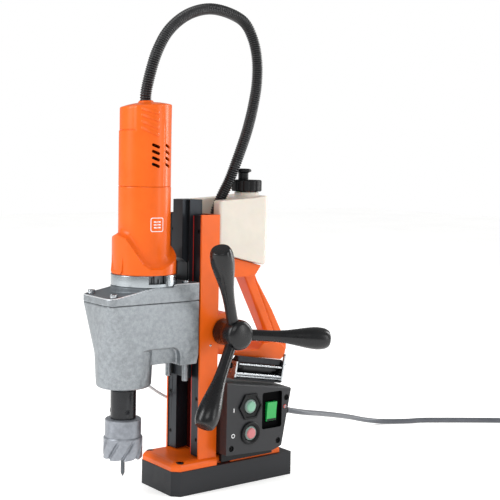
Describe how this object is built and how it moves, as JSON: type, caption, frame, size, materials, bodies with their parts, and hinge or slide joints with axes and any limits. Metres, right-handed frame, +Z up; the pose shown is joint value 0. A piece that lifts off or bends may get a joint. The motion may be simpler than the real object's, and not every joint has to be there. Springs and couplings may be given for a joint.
{
  "type": "magnetic drill press",
  "caption": "Magnetic drill press with orange motor and column, geared spindle head, three-armed feed capstan, coolant tank, carrying handle and control box with a mains lead.",
  "frame": {"origin": "centre of the magnet foot's bottom face", "axes": "+X toward the capstan and the switches, +Y away from the drilling side, +Z up along the column"},
  "size_m": [0.3139, 0.8395, 0.6447],
  "materials": {
    "orange_paint": "satin orange paint, smooth with soft highlights",
    "black_steel": "satin black over steel",
    "dark_steel": "dark ground steel",
    "bright_steel": "bright machined steel",
    "cast_aluminium": "bead-blasted cast aluminium",
    "black_plastic": "matte black moulded plastic",
    "tank_plastic": "milky translucent plastic",
    "grey_plastic": "grey flexible tube",
    "cutter_grey": "dull grey tool steel",
    "bronze": "turned bronze",
    "copper": "varnished copper winding",
    "green_plastic": "glossy green",
    "red_plastic": "glossy red",
    "board_green": "green circuit board with black components",
    "black_rubber": "black moulded rubber",
    "cord_grey": "dark grey rubber sheath"
  },
  "bodies": {
    "frame": {"magnet_housing": "black_steel", "magnet_coil": "copper", "column_frame": "orange_paint", "foot_bolt_1": "dark_steel", "foot_bolt_2": "dark_steel", "rail_left": "dark_steel", "rail_right": "dark_steel", "gib_strip": "bronze", "pinion_bush_left": "bronze", "pinion_bush_right": "bronze", "coolant_tank": "tank_plastic", "tank_valve": "black_plastic", "carry_handle": "orange_paint", "ratchet_frame": "bright_steel", "control_housing": "black_plastic", "control_panel": "black_plastic", "start_bezel": "black_plastic", "stop_bezel": "black_plastic", "indicator_lens": "red_plastic", "circuit_board": "board_green", "cable_conduit": "black_plastic", "conduit_socket": "orange_paint", "coolant_hose": "grey_plastic", "lead_gland": "black_rubber", "mains_lead": "cord_grey", "lead_coil": "cord_grey", "mains_plug": "black_rubber"},
    "carriage": {"slide_bar": "dark_steel", "feed_rack": "bright_steel", "gear_housing": "cast_aluminium", "gear_cover": "cast_aluminium", "motor_collar": "cast_aluminium", "motor_housing": "orange_paint", "motor_cap": "orange_paint", "motor_stator": "copper", "motor_bearing": "bright_steel", "lower_bearing": "bright_steel", "upper_bearing": "bright_steel", "end_bearing": "bright_steel"},
    "spindle": {"spindle": "bright_steel", "spindle_gear": "dark_steel", "arbor": "black_steel", "hole_cutter": "cutter_grey", "pilot_spring": "bright_steel"},
    "pilot": {"pilot_pin": "bright_steel"},
    "armature": {"armature": "dark_steel"},
    "idler": {"idler_gear": "dark_steel"},
    "capstan": {"pinion_shaft": "bright_steel", "capstan_hub": "black_plastic", "feed_lever_1": "black_plastic", "feed_lever_2": "black_plastic", "feed_lever_3": "black_plastic"},
    "cap": {"tank_cap": "black_plastic"},
    "plunger": {"pump_plunger": "black_plastic"},
    "start_button": {"start_button": "green_plastic"},
    "stop_button": {"stop_button": "red_plastic"},
    "rocker": {"magnet_rocker": "green_plastic"},
    "ratchet_lever": {"ratchet_lever": "dark_steel"},
    "ratchet_spool": {"ratchet_spool": "dark_steel"}
  },
  "joints": [
    {"name": "carriage_slide", "type": "slide", "parent": "frame", "child": "carriage", "axis": [0, 0, 1], "range_m": [-0.095, 0.045], "deforming": ["cable_conduit", "coolant_hose"]},
    {"name": "capstan_turn", "type": "hinge", "parent": "frame", "child": "capstan", "pos_m": [0.066, -0.021, 0.212], "axis": [1, 0, 0], "range_deg": [-186, 390]},
    {"name": "spindle_turn", "type": "hinge", "parent": "carriage", "child": "spindle", "pos_m": [0, -0.149, 0.12], "axis": [0, 0, 1], "continuous": true},
    {"name": "idler_turn", "type": "hinge", "parent": "carriage", "child": "idler", "pos_m": [0.014, -0.104, 0.235], "axis": [0, 0, 1], "continuous": true},
    {"name": "armature_turn", "type": "hinge", "parent": "carriage", "child": "armature", "pos_m": [0, -0.12, 0.35], "axis": [0, 0, 1], "continuous": true},
    {"name": "pilot_slide", "type": "slide", "parent": "spindle", "child": "pilot", "axis": [0, 0, 1], "range_m": [0, 0.02], "stiffness_N_per_m": 60, "springref_m": -0.05, "deforming": ["pilot_spring"]},
    {"name": "cap_turn", "type": "hinge", "parent": "frame", "child": "cap", "pos_m": [0.014, 0.034, 0.4045], "axis": [0, 0, 1], "range_deg": [0, 360]},
    {"name": "plunger_slide", "type": "slide", "parent": "cap", "child": "plunger", "axis": [0, 0, 1], "range_m": [-0.009, 0], "stiffness_N_per_m": 200, "springref_m": 0.01},
    {"name": "start_press", "type": "slide", "parent": "frame", "child": "start_button", "axis": [-1, 0, 0], "range_m": [0, 0.003], "stiffness_N_per_m": 400, "springref_m": -0.002},
    {"name": "stop_press", "type": "slide", "parent": "frame", "child": "stop_button", "axis": [-1, 0, 0], "range_m": [0, 0.003], "stiffness_N_per_m": 400, "springref_m": -0.002},
    {"name": "rocker_tip", "type": "hinge", "parent": "frame", "child": "rocker", "pos_m": [0.0545, 0.0505, 0.09825], "axis": [0, 1, 0], "range_deg": [-10, 0]},
    {"name": "ratchet_lever_swing", "type": "hinge", "parent": "frame", "child": "ratchet_lever", "pos_m": [0.0355, 0.03717, 0.15649], "axis": [0, -0.9846, 0.1751], "range_deg": [0, 60]},
    {"name": "ratchet_spool_turn", "type": "hinge", "parent": "frame", "child": "ratchet_spool", "pos_m": [0.0355, 0.03717, 0.15649], "axis": [0, 0.9846, -0.1751], "continuous": true}
  ],
  "couplings": [
    {"joint": "capstan_turn", "follows": "carriage_slide", "rad_per_m": -71.429},
    {"joint": "idler_turn", "follows": "spindle_turn", "ratio": -1.7647},
    {"joint": "armature_turn", "follows": "spindle_turn", "ratio": 7.5}
  ]
}
